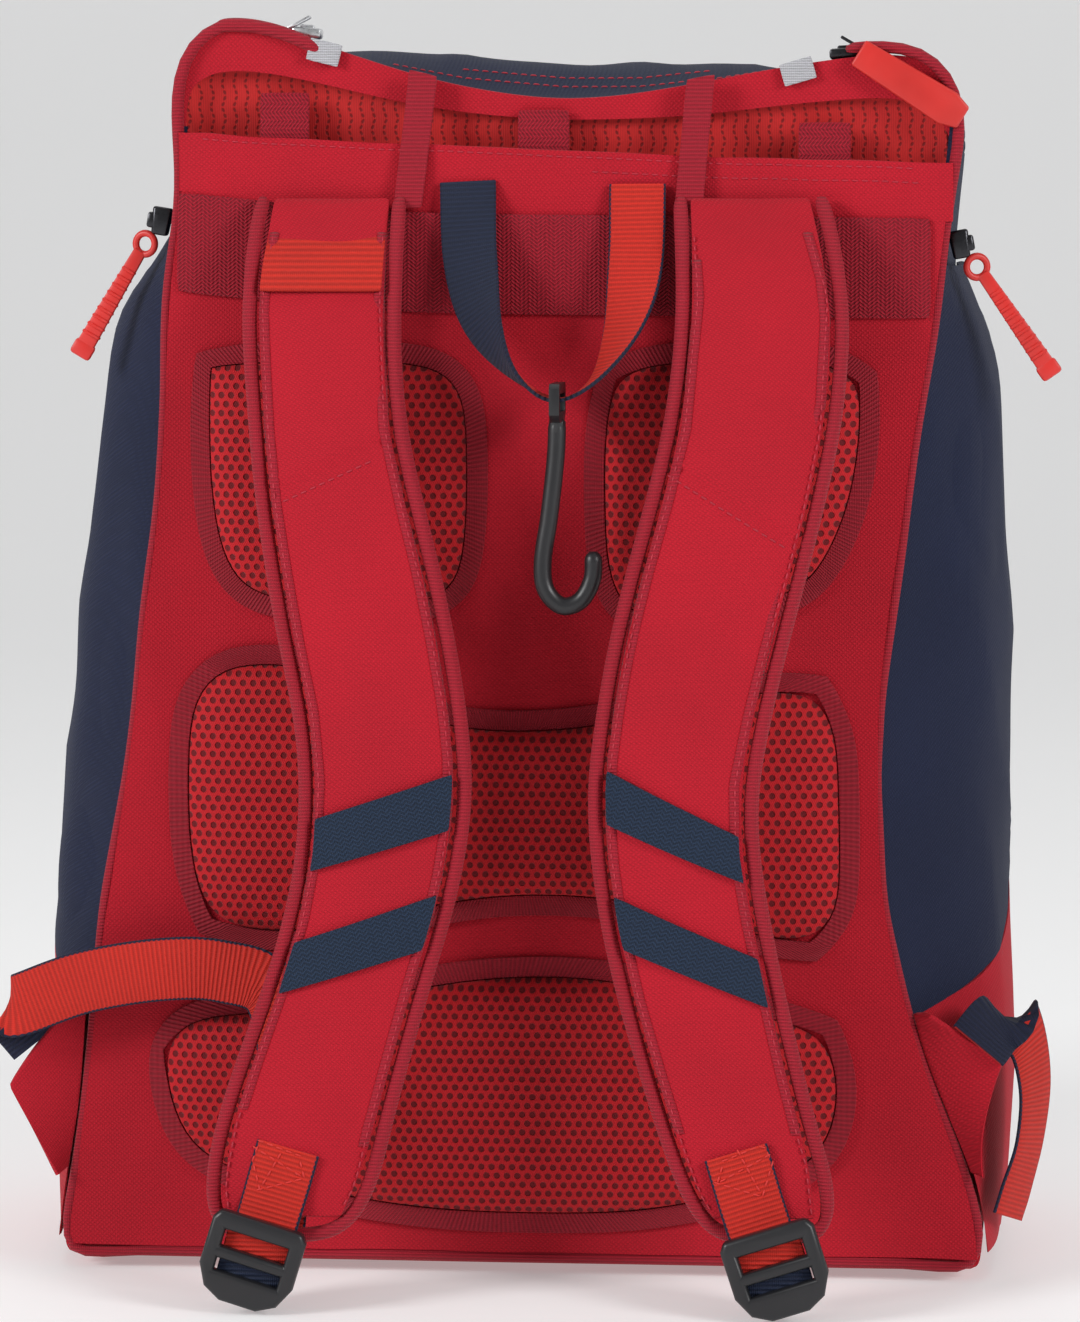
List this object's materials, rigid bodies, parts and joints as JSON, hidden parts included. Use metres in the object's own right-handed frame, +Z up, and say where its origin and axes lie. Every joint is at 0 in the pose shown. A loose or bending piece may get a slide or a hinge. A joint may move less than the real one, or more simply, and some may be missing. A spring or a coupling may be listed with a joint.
{
  "type": "baseball bat backpack",
  "caption": "Stand-up sports backpack with side bat sleeves, padded mesh back, curved padded straps, a grab loop and a swinging fence hook.",
  "frame": {"origin": "middle of the flat underside of the base, on the floor that the bag stands on", "axes": "+Z up the back, +X to the viewer's right when the harness is seen, -Y out of the harness side"},
  "size_m": [0.4217, 0.303, 0.5002],
  "materials": {
    "red_cloth": "red woven polyester with a fine diagonal weave",
    "navy_cloth": "navy woven polyester",
    "red_mesh": "red spacer mesh with round holes",
    "orange_mesh": "orange red perforated lining",
    "red_webbing": "dark red ribbed webbing and binding",
    "two_tone_webbing": "orange red webbing with a navy reverse",
    "navy_webbing": "blue chunky webbing",
    "black_plastic": "satin black moulded plastic",
    "red_rubber": "red moulded rubber",
    "silver_metal": "bright zip slider",
    "grey_ribbon": "pale grey ribbon"
  },
  "bodies": {
    "bag": {"back_panel": "red_cloth", "base": "red_cloth", "bridge_left": "red_webbing", "bridge_right": "red_webbing", "buckle_left": "black_plastic", "buckle_right": "black_plastic", "end_tab_left": "two_tone_webbing", "end_tab_right": "two_tone_webbing", "front_lower": "red_cloth", "front_upper": "navy_cloth", "grab_loop": "two_tone_webbing", "lid": "navy_cloth", "pad_lumbar": "red_mesh", "pad_seat": "red_mesh", "pad_upper_left": "red_mesh", "pad_upper_right": "red_mesh", "piping": "red_webbing", "pull_ribbon_left": "grey_ribbon", "pull_ribbon_right": "grey_ribbon", "pull_side_left": "red_rubber", "pull_side_right": "red_rubber", "pull_top_right": "red_rubber", "ribbon_lumbar": "red_webbing", "ribbon_seat": "red_webbing", "ribbon_upper_left": "red_webbing", "ribbon_upper_right": "red_webbing", "side_left": "navy_cloth", "side_right": "navy_cloth", "sleeve_band": "red_cloth", "sleeve_foot_left": "red_cloth", "sleeve_foot_right": "red_cloth", "sleeve_left": "navy_cloth", "sleeve_lining": "orange_mesh", "sleeve_right": "navy_cloth", "slider_side_left": "black_plastic", "slider_side_right": "black_plastic", "slider_top_left": "silver_metal", "slider_top_right": "black_plastic", "strap_band_left": "two_tone_webbing", "strap_edge_left": "red_webbing", "strap_edge_right": "red_webbing", "strap_left": "red_cloth", "strap_right": "red_cloth", "stripe_left_high": "navy_webbing", "stripe_left_low": "navy_webbing", "stripe_right_high": "navy_webbing", "stripe_right_low": "navy_webbing", "tab_centre": "red_webbing", "tab_left": "red_webbing", "tab_right": "red_webbing", "top_band": "red_cloth", "top_zip_tape": "navy_cloth", "webbing_buckle_right": "two_tone_webbing", "webbing_left": "two_tone_webbing", "webbing_right": "two_tone_webbing", "wide_webbing": "red_webbing", "wing_left": "red_cloth", "wing_right": "red_cloth"},
    "fence_hook": {"fence_hook": "black_plastic"}
  },
  "joints": [
    {"name": "hook_swing", "type": "hinge", "parent": "bag", "child": "fence_hook", "pos_m": [0.01402, -0.143, 0.351], "axis": [0, 1, 0], "range_deg": [-30, 30]}
  ]
}
